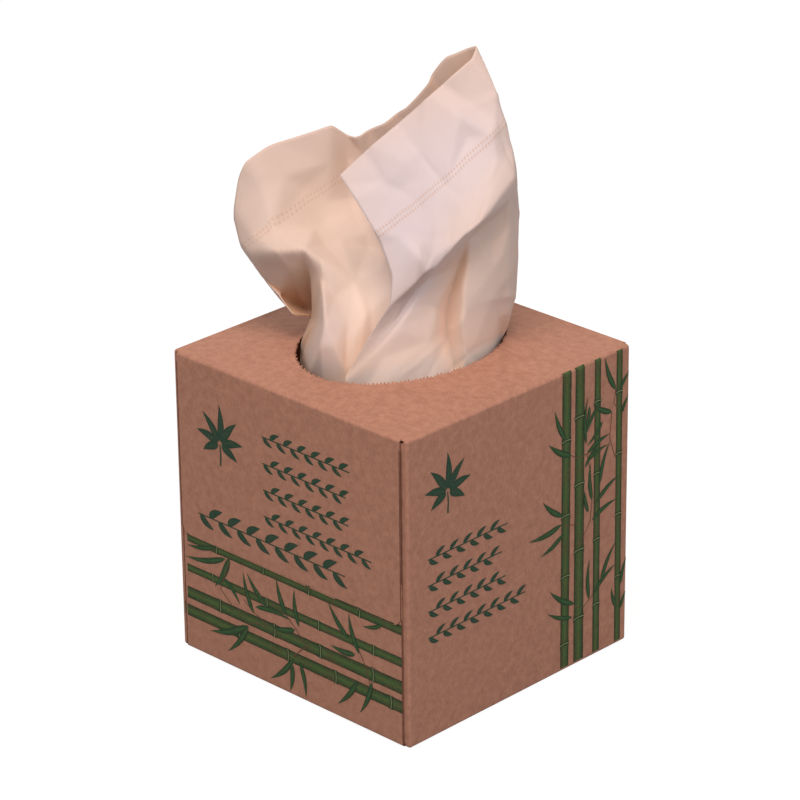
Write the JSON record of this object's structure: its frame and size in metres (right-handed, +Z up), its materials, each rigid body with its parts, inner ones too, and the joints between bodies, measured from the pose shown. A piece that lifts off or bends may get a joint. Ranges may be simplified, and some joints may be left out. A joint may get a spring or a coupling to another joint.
{
  "type": "tissue box",
  "caption": "Cube carton of brown kraft board with a perforated oval opening and interfolded tissues, one pulled up out of it.",
  "frame": {"origin": "centre of the carton's footprint, on the plane it stands on", "axes": "+Z up out of the opening, -Y out of the end with the glued flaps, +X out of the side panel right of it in the picture"},
  "size_m": [0.115, 0.115, 0.2238],
  "materials": {
    "kraft_board": "matt unbleached kraft board with fibre flecks, printed in dark green on two faces",
    "tissue_paper": "soft creped tissue, warm unbleached white, crimped in two dotted rows along its edges",
    "stacked_tissue": "soft creped tissue, interfolded in a clip"
  },
  "bodies": {
    "root": {"carton": "kraft_board", "tissue_stack": "stacked_tissue", "raised_tissue": "tissue_paper", "next_tissue": "tissue_paper"}
  },
  "joints": []
}
